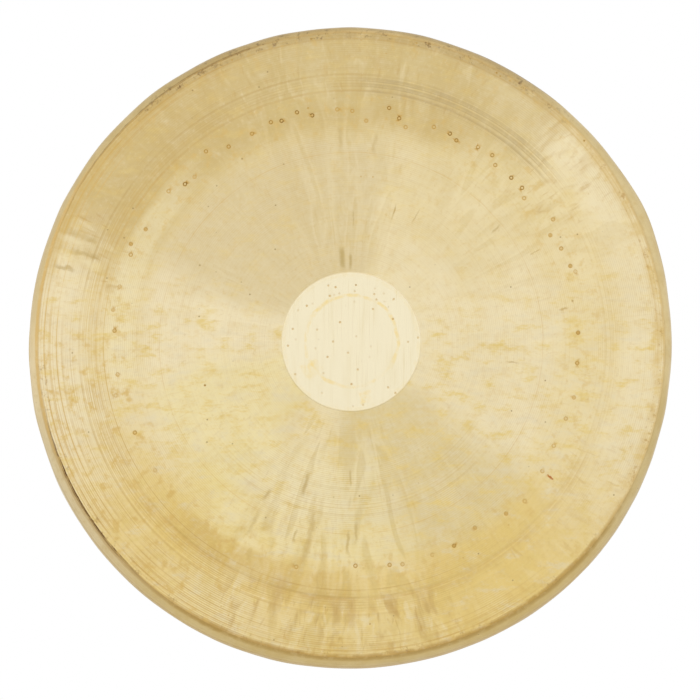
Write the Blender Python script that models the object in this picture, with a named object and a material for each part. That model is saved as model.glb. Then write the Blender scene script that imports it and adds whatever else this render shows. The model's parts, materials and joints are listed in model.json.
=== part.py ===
# Hanging gong: one sheet of bronze, hammered out, turned on a lathe and bent back at the rim.
# Metres, +Z up, the face towards -Y. The origin is midway between the two cord holes.

from math import acos, atan2, ceil, cos, exp, pi, radians, sin, tan

import bmesh
import bpy
from mathutils import Vector

# The sheet

RIM_RADIUS = 0.4064  # the outer edge of the rim
RIM_DEPTH = 0.034  # from the front of the polished centre to the back edge of the rim
RIM_LEAN = radians(8.0)  # the rim opens outwards by this much
RIM_THICKNESS = 0.0015
FACE_THICKNESS = 0.0018  # of the turned face
CREASE_TURN = radians(25.0)  # the sharp turn where the face ends
SHOULDER_RADIUS = 0.025  # the outside of the rounded bend from there into the rim

# What the lathe cuts

CENTRE_RADIUS = 0.0874  # the polished centre
TURNING_DEPTH = 0.0003  # taken off the face all round the centre
CENTRE_STEP = 0.0006  # width of the small step round the centre
BAND_DEPTH = 0.0003  # the deeper turned bands
BAND_SLOPE = 0.0012  # width of each side of a band
# Where each band starts and ends, on the way from the centre's edge to the crease
TURNED_BANDS = ((0.32, 0.395), (0.762, 0.82), (0.964, 0.993))

# Cord holes, drilled through the rim to each side of the top

CORD_HOLE_DIAMETER = 0.008
CORD_HOLE_ANGLE = radians(22.0)  # from the top
CORD_HOLE_DEPTH = 0.026  # from the front of the polished centre, along the gong's axis
DRILL_LENGTH = 0.016
DRILL_SIDES = 24

# Hammered unevenness, with angles clockwise from the top as the front is seen

RIM_SWELLS = 4  # slow swells of the rim
RIM_SWELL_HEIGHT = 0.0008
RIM_SWELL_CREST = radians(50.0)
BULGE_HEIGHT = 0.0030  # one place where the rim stands out
BULGE_ANGLE = radians(66.5)
BULGE_WIDTH = 0.060  # to each side, along the rim
SCALLOPS = 28  # hammer marks round the bend
SCALLOP_HEIGHT = 0.0005
SCALLOP_LEAST = 0.35  # share of that height at the bottom, where the marks are faintest
FACE_SWELL_HEIGHT = 0.0006  # broad swells of the face
FACE_SWELL_FADE = 0.045  # they run out over this width at the centre and at the crease
# Each swell of the face: waves round it, waves across it and its turn
FACE_SWELLS = ((3, 1.0, 0.4), (5, 1.5, 2.1), (8, 2.0, 4.0))

# Facets

STEPS_ROUND = 112
BEND_STEPS = 4
FRONT_RING_SPACING = 0.036  # the most between two rings of the front
BACK_RING_SPACING = 0.052

BRONZE = (0.745, 0.604, 0.314, 1.0)
POLISHED_BRONZE = (0.90, 0.80, 0.55, 1.0)

BEND_ANGLE = pi / 2 - RIM_LEAN


def clear_scene():
    for thing in list(bpy.data.objects):
        bpy.data.objects.remove(thing, do_unlink=True)


def smooth_share(share):
    """Eases from 0 to 1 as share goes from 0 to 1, and stays there."""
    share = min(max(share, 0.0), 1.0)
    return share * share * (3 - 2 * share)


def crease_radius():
    """The radius at which the face ends and the bend begins."""
    bend_depth = SHOULDER_RADIUS * (cos(CREASE_TURN) - cos(BEND_ANGLE))
    bend_width = SHOULDER_RADIUS * (sin(BEND_ANGLE) - sin(CREASE_TURN))
    straight_depth = RIM_DEPTH - TURNING_DEPTH - bend_depth
    return RIM_RADIUS - straight_depth * tan(RIM_LEAN) - bend_width


def bend_centre():
    """(radius, depth) of the middle of the rounded bend."""
    radius = crease_radius() - SHOULDER_RADIUS * sin(CREASE_TURN)
    return radius, TURNING_DEPTH + SHOULDER_RADIUS * cos(CREASE_TURN)


def rim_radius_at(depth):
    """The rim's outer radius at a depth, on its straight part."""
    return RIM_RADIUS - (RIM_DEPTH - depth) * tan(RIM_LEAN)


def front_line():
    """(radius, depth) points of the front, from the centre's edge to the crease."""
    turned = CENTRE_RADIUS + CENTRE_STEP
    line = [(CENTRE_RADIUS, 0.0), (turned, TURNING_DEPTH)]
    width = crease_radius() - turned
    floor = TURNING_DEPTH + BAND_DEPTH
    for near, far in TURNED_BANDS:
        inner = turned + near * width
        outer = turned + far * width
        line.append((inner, TURNING_DEPTH))
        line.append((inner + BAND_SLOPE, floor))
        line.append((outer - BAND_SLOPE, floor))
        line.append((outer, TURNING_DEPTH))
    line.append((crease_radius(), TURNING_DEPTH))
    return line


def bend_line(outside):
    """(radius, depth) points round the bend, on the outside or the inside of the sheet."""
    centre, centre_depth = bend_centre()
    first = CREASE_TURN
    if not outside:
        to_back = centre_depth - TURNING_DEPTH - FACE_THICKNESS
        first = acos(to_back / (SHOULDER_RADIUS - FACE_THICKNESS))
    line = []
    for step in range(BEND_STEPS + 1):
        share = step / BEND_STEPS
        turn = first + (BEND_ANGLE - first) * share
        radius = SHOULDER_RADIUS
        if not outside:
            radius -= FACE_THICKNESS + (RIM_THICKNESS - FACE_THICKNESS) * share
        line.append((centre + radius * sin(turn), centre_depth - radius * cos(turn)))
    return line


def with_rings(line, spacing):
    """The line with points added wherever two are further apart than the spacing."""
    full = [line[0]]
    for start, end in zip(line, line[1:]):
        steps = ceil(abs(end[0] - start[0]) / spacing)
        for step in range(1, max(steps, 1) + 1):
            share = step / max(steps, 1)
            full.append(tuple(a + (b - a) * share for a, b in zip(start, end)))
    return full


def section():
    """Half of the gong's section: out along the front, round the rim and in along the back."""
    inner_edge = RIM_RADIUS - RIM_THICKNESS / cos(RIM_LEAN)
    front = with_rings(front_line(), FRONT_RING_SPACING)
    outside = bend_line(True)[1:]
    edge = [(RIM_RADIUS, RIM_DEPTH), (inner_edge, RIM_DEPTH)]
    inside = bend_line(False)[:0:-1]
    back_start = bend_line(False)[0]
    back = with_rings([back_start, (CENTRE_RADIUS, back_start[1])], BACK_RING_SPACING)
    return front + outside + edge + inside + back


def face_swell(radius, angle):
    """How far the hammered face lies behind its true plane."""
    inner = CENTRE_RADIUS + CENTRE_STEP
    outer = crease_radius()
    fade = smooth_share(min(radius - inner, outer - radius) / FACE_SWELL_FADE)
    across = (radius - inner) / (outer - inner)
    waves = 0.0
    for around, rings, turn in FACE_SWELLS:
        waves += cos(around * angle + turn) * sin(2 * pi * rings * across + turn)
    return FACE_SWELL_HEIGHT * fade * waves / len(FACE_SWELLS)


def rim_swell(angle):
    """How far the rim's edge stands outside its true circle."""
    from_bulge = (angle - BULGE_ANGLE + pi) % (2 * pi) - pi
    bulge = BULGE_HEIGHT * exp(-((from_bulge * RIM_RADIUS / BULGE_WIDTH) ** 2))
    slow = RIM_SWELL_HEIGHT * cos(RIM_SWELLS * (angle - RIM_SWELL_CREST))
    share = SCALLOP_LEAST + (1 - SCALLOP_LEAST) * (1 + cos(angle)) / 2
    return bulge + slow + SCALLOP_HEIGHT * share * cos(SCALLOPS * angle)


def hammer(mesh):
    """Moves the true turned form to the uneven one that hammering leaves."""
    centre, centre_depth = bend_centre()
    for vert in mesh.verts:
        radius = Vector((vert.co.x, vert.co.z)).length
        angle = atan2(vert.co.x, vert.co.z)
        if radius <= crease_radius():
            vert.co.y += face_swell(radius, angle)
            continue
        turn = atan2(radius - centre, centre_depth - vert.co.y)
        share = smooth_share((turn - CREASE_TURN) / (BEND_ANGLE - CREASE_TURN))
        moved = radius + rim_swell(angle) * share
        vert.co.x = moved * sin(angle)
        vert.co.z = moved * cos(angle)


def make_material(name, colour, roughness):
    material = bpy.data.materials.new(name)
    material.use_nodes = True
    shader = material.node_tree.nodes["Principled BSDF"]
    shader.inputs["Base Color"].default_value = colour
    shader.inputs["Metallic"].default_value = 1.0
    shader.inputs["Roughness"].default_value = roughness
    return material


def add_object(name, shape):
    shape.normal_update()
    mesh = bpy.data.meshes.new(name)
    shape.to_mesh(mesh)
    shape.free()
    thing = bpy.data.objects.new(name, mesh)
    bpy.context.scene.collection.objects.link(thing)
    return thing


def make_plate():
    """The whole gong, turned from its section, with the two round middles closed flat."""
    shape = bmesh.new()
    points = [shape.verts.new((radius, depth, 0.0)) for radius, depth in section()]
    lines = [shape.edges.new(pair) for pair in zip(points, points[1:])]
    bmesh.ops.spin(
        shape,
        geom=points + lines,
        cent=(0, 0, 0),
        axis=(0, 1, 0),
        angle=2 * pi,
        steps=STEPS_ROUND,
        use_merge=True,
    )
    open_edges = [edge for edge in shape.edges if edge.is_boundary]
    middles = bmesh.ops.holes_fill(shape, edges=open_edges, sides=0)["faces"]
    hammer(shape)
    bmesh.ops.recalc_face_normals(shape, faces=shape.faces[:])
    for face in middles:
        if face.normal.y < 0:
            face.material_index = 1
    plate = add_object("gong_plate", shape)
    plate.data.materials.append(make_material("turned_bronze", BRONZE, 0.32))
    plate.data.materials.append(make_material("polished_bronze", POLISHED_BRONZE, 0.22))
    plate.data.shade_smooth()
    plate.data.set_sharp_from_angle(angle=radians(30))
    return plate


def cord_hole_radius():
    """Distance from the gong's axis to the middle of the rim's wall, at the cord holes."""
    return rim_radius_at(CORD_HOLE_DEPTH) - RIM_THICKNESS / cos(RIM_LEAN) / 2


def drill_cord_hole(plate, side):
    """Cuts one cord hole square through the rim. Side is 1 for the right and -1 for the left."""
    angle = side * CORD_HOLE_ANGLE
    outwards = Vector((sin(angle), 0, cos(angle)))
    across_wall = outwards * cos(RIM_LEAN) - Vector((0, sin(RIM_LEAN), 0))
    shape = bmesh.new()
    bmesh.ops.create_cone(
        shape,
        cap_ends=True,
        segments=DRILL_SIDES,
        radius1=CORD_HOLE_DIAMETER / 2,
        radius2=CORD_HOLE_DIAMETER / 2,
        depth=DRILL_LENGTH,
    )
    drill = add_object("cord_hole_drill_right" if side > 0 else "cord_hole_drill_left", shape)
    drill.parent = plate
    drill.location = outwards * (cord_hole_radius() + rim_swell(angle))
    drill.location.y = CORD_HOLE_DEPTH
    drill.rotation_euler = across_wall.to_track_quat("Z", "Y").to_euler()
    drill.hide_render = True
    drill.display_type = "WIRE"
    cut = plate.modifiers.new(drill.name, "BOOLEAN")
    cut.operation = "DIFFERENCE"
    cut.solver = "EXACT"
    cut.object = drill


clear_scene()
gong_plate = make_plate()
for hole_side in (-1, 1):
    drill_cord_hole(gong_plate, hole_side)
gong_plate.location = (0, -CORD_HOLE_DEPTH, -cord_hole_radius() * cos(CORD_HOLE_ANGLE))
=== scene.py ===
# Hammered, lathe-turned bronze gong with a turned-back rim, hanging in a pale studio.
# Blender 4.5, metres, +Z up, the face towards -Y. Clock angles run clockwise from the top of the face.
import json
import math
import random

import bmesh
import bpy
from mathutils import Matrix, Vector, kdtree, noise


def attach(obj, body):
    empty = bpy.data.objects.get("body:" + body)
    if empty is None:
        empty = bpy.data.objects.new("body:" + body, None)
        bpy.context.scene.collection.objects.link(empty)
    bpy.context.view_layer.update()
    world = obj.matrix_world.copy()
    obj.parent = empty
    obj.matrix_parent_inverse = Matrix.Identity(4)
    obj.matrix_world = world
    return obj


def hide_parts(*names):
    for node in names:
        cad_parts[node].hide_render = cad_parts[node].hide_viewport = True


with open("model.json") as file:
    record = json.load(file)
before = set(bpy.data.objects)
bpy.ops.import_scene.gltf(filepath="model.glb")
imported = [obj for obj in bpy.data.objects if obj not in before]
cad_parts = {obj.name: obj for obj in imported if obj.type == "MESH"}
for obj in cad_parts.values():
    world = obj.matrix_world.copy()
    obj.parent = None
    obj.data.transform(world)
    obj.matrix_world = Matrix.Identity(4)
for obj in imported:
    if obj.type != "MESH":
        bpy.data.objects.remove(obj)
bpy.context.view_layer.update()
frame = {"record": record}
mountPlaces = {mount["name"]: Vector(mount["pos_m"]) for mount in frame["record"]["mounts"]}
gongCentre = mountPlaces["struck_centre"]
print("frame loaded, gong centre at", tuple(round(value, 4) for value in gongCentre))

# The bronze sheet: sizes as in the CAD model, then how finely it is cut

plate = {
    "rimRadius": 0.4064,
    "rimDepth": 0.034,  # from the front of the polished centre to the rim's back edge
    "rimLean": math.radians(8),
    "rimThickness": 0.0015,
    "faceThickness": 0.0018,
    "creaseTurn": math.radians(25),
    "shoulderRadius": 0.025,
    "centreRadius": 0.0874,
    "turningDepth": 0.0003,
    "centreStep": 0.0006,
    "turnedBands": ((0.32, 0.395), (0.762, 0.82), (0.964, 0.993)),  # shares of the way out
    "bandDepth": 0.00015,
    "grooveDepth": 0.00008,
    "ringWaver": 0.00005,  # how much the tool wanders from ring to ring
    "edgeRounding": 0.0004,
    "stepsRound": 360,
    "grooveRing": 0.0012,  # spacing of the rings in the turned bands
    "faceRing": 0.0039,
    "rimRing": 0.0024,
    "backRing": 0.0068,
    "bendSteps": 10,
}

# Slow unevenness from the hammer, as in the CAD model, and a finer one on top of it

swells = {
    "rimWaves": 4,
    "rimHeight": 0.0008,
    "rimCrest": math.radians(50),
    "bulgeHeight": 0.003,
    "bulgeAngle": math.radians(66.5),
    "bulgeWidth": 0.06,
    "scallops": 28,
    "scallopHeight": 0.0003,
    "scallopLeast": 0.35,
    "rimExtra": 0.0003,
    # finer waves of the rim: how many round it, height, clock angle of a crest
    "rimFine": ((1, 0.00087, 274), (3, 0.00036, 74), (5, 0.00044, 61), (6, 0.00031, 10)),
    "faceHeight": 0.0006,
    "faceFade": 0.045,
    "faceWaves": ((3, 1.0, 0.4), (5, 1.5, 2.1), (8, 2.0, 4.0)),
    "rimFlatHeight": 0.0005,  # small flats round the bend
    "rimFlatCount": 11,
    "creaseOut": 0.0015,  # how far out the crease was hammered, and how much more on one side
    "creaseMore": 0.0024,
    "creaseSide": {"Clock": 330, "Half": 28, "Soft": 30},
    "creaseFrom": 0.345,  # the face is stretched from this radius on
}


def easedShare(share):
    share = min(max(share, 0.0), 1.0)
    return share * share * (3 - 2 * share)


def bendAngle():
    return math.pi / 2 - plate["rimLean"]


def creaseRadius():
    bendDepth = plate["shoulderRadius"] * (math.cos(plate["creaseTurn"]) - math.cos(bendAngle()))
    bendWidth = plate["shoulderRadius"] * (math.sin(bendAngle()) - math.sin(plate["creaseTurn"]))
    straightDepth = plate["rimDepth"] - plate["turningDepth"] - bendDepth
    return plate["rimRadius"] - straightDepth * math.tan(plate["rimLean"]) - bendWidth


def bendCentre():
    radius = creaseRadius() - plate["shoulderRadius"] * math.sin(plate["creaseTurn"])
    return radius, plate["turningDepth"] + plate["shoulderRadius"] * math.cos(plate["creaseTurn"])


def straightRun(start, end, spacing):
    # points after start, up to and with end
    length = math.hypot(end[0] - start[0], end[1] - start[1])
    steps = max(1, math.ceil(length / spacing))
    return [tuple(a + (b - a) * step / steps for a, b in zip(start, end)) for step in range(1, steps + 1)]


def frontLine():
    # (radius, depth) from the edge of the polished centre out to the crease
    turned = plate["centreRadius"] + plate["centreStep"]
    width = creaseRadius() - turned
    edges = [turned + share * width for band in plate["turnedBands"] for share in band]
    line = [(plate["centreRadius"], 0.0), (turned, plate["turningDepth"])]
    tool = random.Random(11)
    inBand = False
    for edge in edges + [creaseRadius()]:
        spacing = plate["grooveRing"] if inBand else plate["faceRing"]
        run = straightRun((line[-1][0], plate["turningDepth"]), (edge, plate["turningDepth"]), spacing)
        for index, (radius, depth) in enumerate(run[:-1]):
            if inBand:
                depth += plate["bandDepth"] - plate["grooveDepth"] * (index % 2)
            line.append((radius, depth + plate["ringWaver"] * tool.uniform(-1, 1)))
        line.append(run[-1])
        inBand = not inBand
    return line


def bendLine(outside):
    radius, depth = bendCentre()
    first = plate["creaseTurn"]
    thin = plate["rimThickness"] - plate["faceThickness"]
    if not outside:
        toBack = depth - plate["turningDepth"] - plate["faceThickness"]
        first = math.acos(toBack / (plate["shoulderRadius"] - plate["faceThickness"]))
    line = []
    for step in range(plate["bendSteps"] + 1):
        share = step / plate["bendSteps"]
        turn = first + (bendAngle() - first) * share
        reach = plate["shoulderRadius"]
        if not outside:
            reach -= plate["faceThickness"] + thin * share
        line.append((radius + reach * math.sin(turn), depth - reach * math.cos(turn)))
    return line


def halfSection():
    # out along the front, round the rim and in along the back
    outside = bendLine(True)
    inside = bendLine(False)[::-1]
    outerEdge = (plate["rimRadius"], plate["rimDepth"])
    innerEdge = (plate["rimRadius"] - plate["rimThickness"] / math.cos(plate["rimLean"]), plate["rimDepth"])
    line = frontLine() + outside[1:]
    line += straightRun(outside[-1], outerEdge, plate["rimRing"])
    line.append(innerEdge)
    line += straightRun(innerEdge, inside[0], plate["rimRing"] * 2)
    line += inside[1:]
    line += straightRun(inside[-1], (plate["centreRadius"], inside[-1][1]), plate["backRing"])
    return line


def faceSwell(radius, angle):
    inner = plate["centreRadius"] + plate["centreStep"]
    outer = creaseRadius()
    fade = easedShare(min(radius - inner, outer - radius) / swells["faceFade"])
    across = (radius - inner) / (outer - inner)
    waves = 0.0
    for around, rings, turn in swells["faceWaves"]:
        waves += math.cos(around * angle + turn) * math.sin(2 * math.pi * rings * across + turn)
    return swells["faceHeight"] * fade * waves / len(swells["faceWaves"])


def rimSwell(angle):
    fromBulge = (angle - swells["bulgeAngle"] + math.pi) % (2 * math.pi) - math.pi
    reach = fromBulge * plate["rimRadius"] / swells["bulgeWidth"]
    bulge = swells["bulgeHeight"] * math.exp(-reach * reach)
    slow = swells["rimHeight"] * math.cos(swells["rimWaves"] * (angle - swells["rimCrest"]))
    share = swells["scallopLeast"] + (1 - swells["scallopLeast"]) * (1 + math.cos(angle)) / 2
    scallop = swells["scallopHeight"] * share * math.cos(swells["scallops"] * angle)
    fine = swells["rimExtra"]
    for around, height, crest in swells["rimFine"]:
        fine += height * math.cos(around * (angle - math.radians(crest)))
    return bulge + slow + scallop + fine


def rimFlats(angle, depth):
    # small uneven flats that the hammer leaves round the bend
    count = swells["rimFlatCount"]
    place = Vector((math.sin(angle) * count, depth * 45, math.cos(angle) * count))
    return swells["rimFlatHeight"] * noise.noise(place)


def turnAt(radius, depth):
    # how far round the bend a point lies, 0 at the crease and 1 on the straight rim
    centre, centreDepth = bendCentre()
    turn = math.atan2(radius - centre, centreDepth - depth)
    return easedShare((turn - plate["creaseTurn"]) / (bendAngle() - plate["creaseTurn"]))


def clockGap(angle, clock):
    return abs((math.degrees(angle) - clock + 180) % 360 - 180)


def around(angle, reach=1.0):
    return Vector((math.sin(angle) * reach, 0, math.cos(angle) * reach))


def treeOf(places):
    tree = kdtree.KDTree(len(places))
    for index, place in enumerate(places):
        tree.insert(place, index)
    tree.balance()
    return tree


def spun(shape, line, axis, steps):
    # turns a line of points a full turn round an axis
    points = [shape.verts.new(point) for point in line]
    lines = [shape.edges.new(pair) for pair in zip(points, points[1:])]
    bmesh.ops.spin(
        shape,
        geom=points + lines,
        cent=(0, 0, 0),
        axis=axis,
        angle=2 * math.pi,
        steps=steps,
        use_merge=True,
    )


def bendSheet(mesh):
    side = swells["creaseSide"]
    for vert in mesh.verts:
        radius = math.hypot(vert.co.x, vert.co.z)
        angle = math.atan2(vert.co.x, vert.co.z)
        near = easedShare((side["Half"] + side["Soft"] - clockGap(angle, side["Clock"])) / side["Soft"])
        stretch = swells["creaseOut"] + swells["creaseMore"] * near
        if radius <= creaseRadius():
            vert.co.y += faceSwell(radius, angle)
            share = (radius - swells["creaseFrom"]) / (creaseRadius() - swells["creaseFrom"])
            moved = radius + stretch * easedShare(share)
        else:
            share = turnAt(radius, vert.co.y)
            moved = radius + (rimSwell(angle) + rimFlats(angle, vert.co.y)) * share + stretch * (1 - share)
        vert.co.x = moved * math.sin(angle)
        vert.co.z = moved * math.cos(angle)


def fillMiddle(mesh, depth):
    # closes one round opening with a grid of four-sided faces
    rim = [edge for edge in mesh.edges if edge.is_boundary and abs(edge.verts[0].co.y - depth) < 1e-5]
    middles = {edge: (edge.verts[0].co + edge.verts[1].co) / 2 for edge in rim}
    rim.sort(key=lambda edge: math.atan2(middles[edge].x, middles[edge].z))
    quarter = len(rim) // 4
    sides = rim[:quarter] + rim[2 * quarter:3 * quarter]
    bmesh.ops.grid_fill(mesh, edges=sides, mat_nr=0, use_smooth=True, use_interp_simple=True)


# Materials stand in this order on the sheet
zones = ("polishedCentre", "turnedFace", "turnedRim", "rawBack")


def zoneOf(face):
    middle = face.calc_center_median()
    radius = math.hypot(middle.x, middle.z)
    front = middle.y < plate["turningDepth"] + plate["faceThickness"] / 2
    if radius < plate["centreRadius"]:
        return "polishedCentre" if front else "rawBack"
    if radius < creaseRadius() and front:
        return "turnedFace"
    outward = face.normal.x * middle.x + face.normal.z * middle.z
    if outward > 0 or middle.y > plate["rimDepth"] - plate["edgeRounding"]:
        return "turnedRim"
    return "rawBack"


def turnPlate():
    mesh = bmesh.new()
    section = [(radius, depth, 0) for radius, depth in halfSection()]
    spun(mesh, section, (0, 1, 0), plate["stepsRound"])
    fillMiddle(mesh, 0.0)
    fillMiddle(mesh, bendLine(False)[0][1])
    bmesh.ops.recalc_face_normals(mesh, faces=mesh.faces[:])
    for face in mesh.faces:
        face.material_index = zones.index(zoneOf(face))
    end = plate["rimDepth"] - 1e-5
    atBack = [edge for edge in mesh.edges if all(vert.co.y > end for vert in edge.verts)]
    corners = [edge for edge in atBack if edge.calc_face_angle(0) > math.radians(45)]
    bmesh.ops.bevel(
        mesh,
        geom=corners,
        affect="EDGES",
        offset=plate["edgeRounding"],
        segments=2,
        profile=0.5,
        material=-1,
    )
    print("plate turned:", len(mesh.faces), "faces")
    return mesh


# Hammer marks, each a shallow dent longer across the rings than along them

dents = {
    "front": {"count": 1500, "length": 0.034, "width": 0.01, "depth": 0.00022, "seed": 3},
    "back": {"count": 2600, "length": 0.019, "width": 0.017, "depth": 0.00028, "seed": 5},
    "sizes": (0.6, 1.3),  # shares of that size, and of that depth
    "depths": (0.4, 1.0),
    "lean": 0.18,
    "reach": 1.6,  # how far a dent is followed, in half lengths
    "least": 0.25,  # depth of the faintest, as a share
    # where the front ones are strongest: clock angle, half width in degrees, radius from
    "strongest": ((195, 55, 0.2), (52, 30, 0.25), (330, 40, 0.27)),
    "centreGap": 0.004,  # they start this far outside the polished centre
    "centreFade": 0.006,
    "creaseGap": 0.002,  # and end this far inside the crease
    "creaseFade": 0.012,
    "cornerGap": 0.004,  # the back's corner keeps its shape from here out
}


def dentStrength(angle, radius):
    best = dents["least"]
    for clock, half, start in dents["strongest"]:
        near = easedShare(1.5 - clockGap(angle, clock) / half)
        best = max(best, near * easedShare((radius - start + 0.04) / 0.06))
    return best


def vertsIn(mesh, zone):
    number = zones.index(zone)
    return [vert for vert in mesh.verts if all(face.material_index == number for face in vert.link_faces)]


def hammerSide(mesh, side):
    marks = dents[side]
    chance = random.Random(marks["seed"])
    front = side == "front"
    verts = vertsIn(mesh, "turnedFace" if front else "rawBack")
    if not front:
        edge = creaseRadius() - dents["cornerGap"]
        verts = [vert for vert in verts if math.hypot(vert.co.x, vert.co.z) < edge]
    tree = treeOf([(vert.co.x, 0, vert.co.z) for vert in verts])
    inner = plate["centreRadius"] + dents["centreGap"] if front else 0.0
    outer = creaseRadius() - dents["creaseGap"]
    moves = [0.0] * len(verts)
    for _ in range(marks["count"]):
        angle = chance.uniform(-math.pi, math.pi)
        radius = math.sqrt(chance.uniform(inner * inner, outer * outer))
        size = chance.uniform(*dents["sizes"])
        deep = marks["depth"] * chance.uniform(*dents["depths"])
        if front:
            deep *= dentStrength(angle, radius)
        lean = angle + chance.gauss(0, dents["lean"])
        outwards = around(lean)
        along = Vector((math.cos(lean), 0, -math.sin(lean)))
        middle = around(angle, radius)
        length = marks["length"] * size / 2
        width = marks["width"] * size / 2
        for place, index, _ in tree.find_range(middle, length * dents["reach"]):
            offset = place - middle
            far = (offset.dot(outwards) / length) ** 2 + (offset.dot(along) / width) ** 2
            moves[index] += deep * math.exp(-far)
    for vert, move in zip(verts, moves):
        radius = math.hypot(vert.co.x, vert.co.z)
        fade = easedShare((radius - inner) / dents["centreFade"]) if front else 1.0
        move *= fade
        move *= easedShare((outer - radius) / dents["creaseFade"])
        vert.co.y += move if front else -move


# Small ring-shaped punch marks: clock angle in degrees, millimetres from the gong's centre

punches = {
    "face": (
        (0.3, 292.6), (3.9, 280.6), (9.2, 300.2), (12.1, 289.5), (14.2, 280.3), (21.0, 291.2),
        (25.3, 291.5), (27.5, 287.4), (33.0, 293.7), (37.0, 295.4), (39.1, 287.8), (44.2, 289.1),
        (47.9, 289.9), (50.2, 283.1), (58.7, 296.8), (61.8, 283.7), (66.0, 288.4), (70.9, 290.7),
        (72.6, 294.5), (87.8, 283.8), (95.5, 283.4), (104.2, 286.3), (109.9, 284.2), (117.4, 283.7),
        (124.3, 287.5), (132.8, 293.3), (138.2, 288.1), (146.6, 278.4), (153.4, 284.5),
        (159.3, 284.1), (167.1, 284.4), (170.3, 282.1), (178.9, 279.1), (193.6, 288.6),
        (236.5, 291.9), (247.0, 292.1), (257.0, 300.8), (261.9, 294.1), (272.6, 295.9),
        (277.6, 300.2), (283.4, 297.9), (291.6, 297.1), (294.0, 302.4), (298.8, 294.2),
        (309.6, 297.9), (313.6, 288.6), (316.6, 286.7), (322.8, 302.4), (328.0, 291.1),
        (334.6, 291.5), (340.0, 296.0), (342.6, 293.4), (346.8, 298.7), (350.3, 291.0),
        (356.6, 295.0),
    ),
    "faceRing": 0.0021,  # radius of the pressed ring
    "faceDepth": 0.00028,
    "centre": (
        (4.1, 63.4), (4.8, 50.3), (24.1, 73.1), (25.9, 66.2), (31.1, 61.5), (33.9, 49.1),
        (34.0, 72.9), (39.8, 65.2), (45.0, 9.1), (45.0, 75.3), (61.6, 59.5), (86.7, 83.7),
        (90.4, 71.1), (103.9, 25.3), (130.3, 30.1), (139.5, 85.0), (141.3, 73.7), (166.7, 36.1),
        (169.4, 80.8), (178.3, 81.3), (179.5, 53.5), (195.3, 14.7), (209.4, 74.0), (220.9, 52.6),
        (236.5, 35.3), (239.5, 80.9), (259.1, 45.3), (266.1, 79.0), (269.7, 22.6), (272.2, 69.2),
        (282.2, 74.6), (289.2, 45.1), (300.6, 77.0), (309.0, 71.2), (314.7, 67.8), (330.2, 27.9),
        (335.1, 63.2), (337.9, 76.0), (340.2, 62.2), (344.1, 71.0), (346.2, 62.2),
    ),
    "centreRing": 0.0012,
    "centreDepth": 0.00012,
    # how far round each mark the faces are cut finer, and how often
    "cuts": {"face": (0.0042, 5), "centre": (0.0026, 2)},
    # shares of the ring's radius: how wide it is, how wide its halo is and how far both are followed
    "width": 0.36,
    "haloWidth": 1.9,
    "reach": 3.2,
    "dish": 0.35,  # how deep the middle is pressed and how dark the halo is, beside the ring
    "halo": 0.16,
    "seed": 22,
}

# Dark pits: clock angle, millimetres from the centre, radius in millimetres, how dark

pits = {
    "face": (
        (352.5, 388.5, 1.1, 1.0), (12.3, 389.0, 1.0, 0.8), (337.2, 388.5, 1.2, 0.7),
        (345.0, 387.6, 0.9, 0.5), (1.9, 384.0, 0.9, 0.7), (6.9, 369.1, 0.9, 0.6),
        (28.3, 388.0, 1.2, 0.9), (29.2, 386.4, 1.0, 0.9), (31.2, 387.5, 1.0, 0.7),
        (49.1, 388.6, 1.3, 0.9), (253.2, 190.3, 1.4, 0.9), (176.2, 351.3, 1.0, 0.9),
        (204.0, 372.0, 1.0, 0.7), (206.0, 366.0, 0.8, 0.6), (349.6, 301.3, 1.2, 0.8),
        (7.5, 210.0, 1.0, 0.6), (3.4, 209.0, 1.0, 0.6), (139.6, 300.5, 0.9, 0.6),
        (152.8, 303.0, 0.9, 0.6), (58.0, 352.0, 0.8, 0.5),
    ),
    "centre": ((4.9, 71.3, 1.0, 1.0), (337.9, 76.0, 0.8, 0.5), (4.1, 63.6, 0.9, 0.4)),
    "depth": 0.0002,
    "reach": 2.5,  # how far a pit is followed, in radii
}


def clockPlace(clock, millimetres):
    return around(math.radians(clock), millimetres / 1000)


def refine(mesh, places, reach, cuts):
    # cuts the front's faces finer wherever a mark goes
    tree = treeOf(places)
    front = (zones.index("polishedCentre"), zones.index("turnedFace"))
    edges = set()
    for face in mesh.faces:
        if face.material_index in front:
            middle = face.calc_center_median()
            if tree.find((middle.x, 0, middle.z))[2] < reach:
                edges.update(face.edges)
    bmesh.ops.subdivide_edges(mesh, edges=list(edges), cuts=cuts, use_grid_fill=True)


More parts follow.
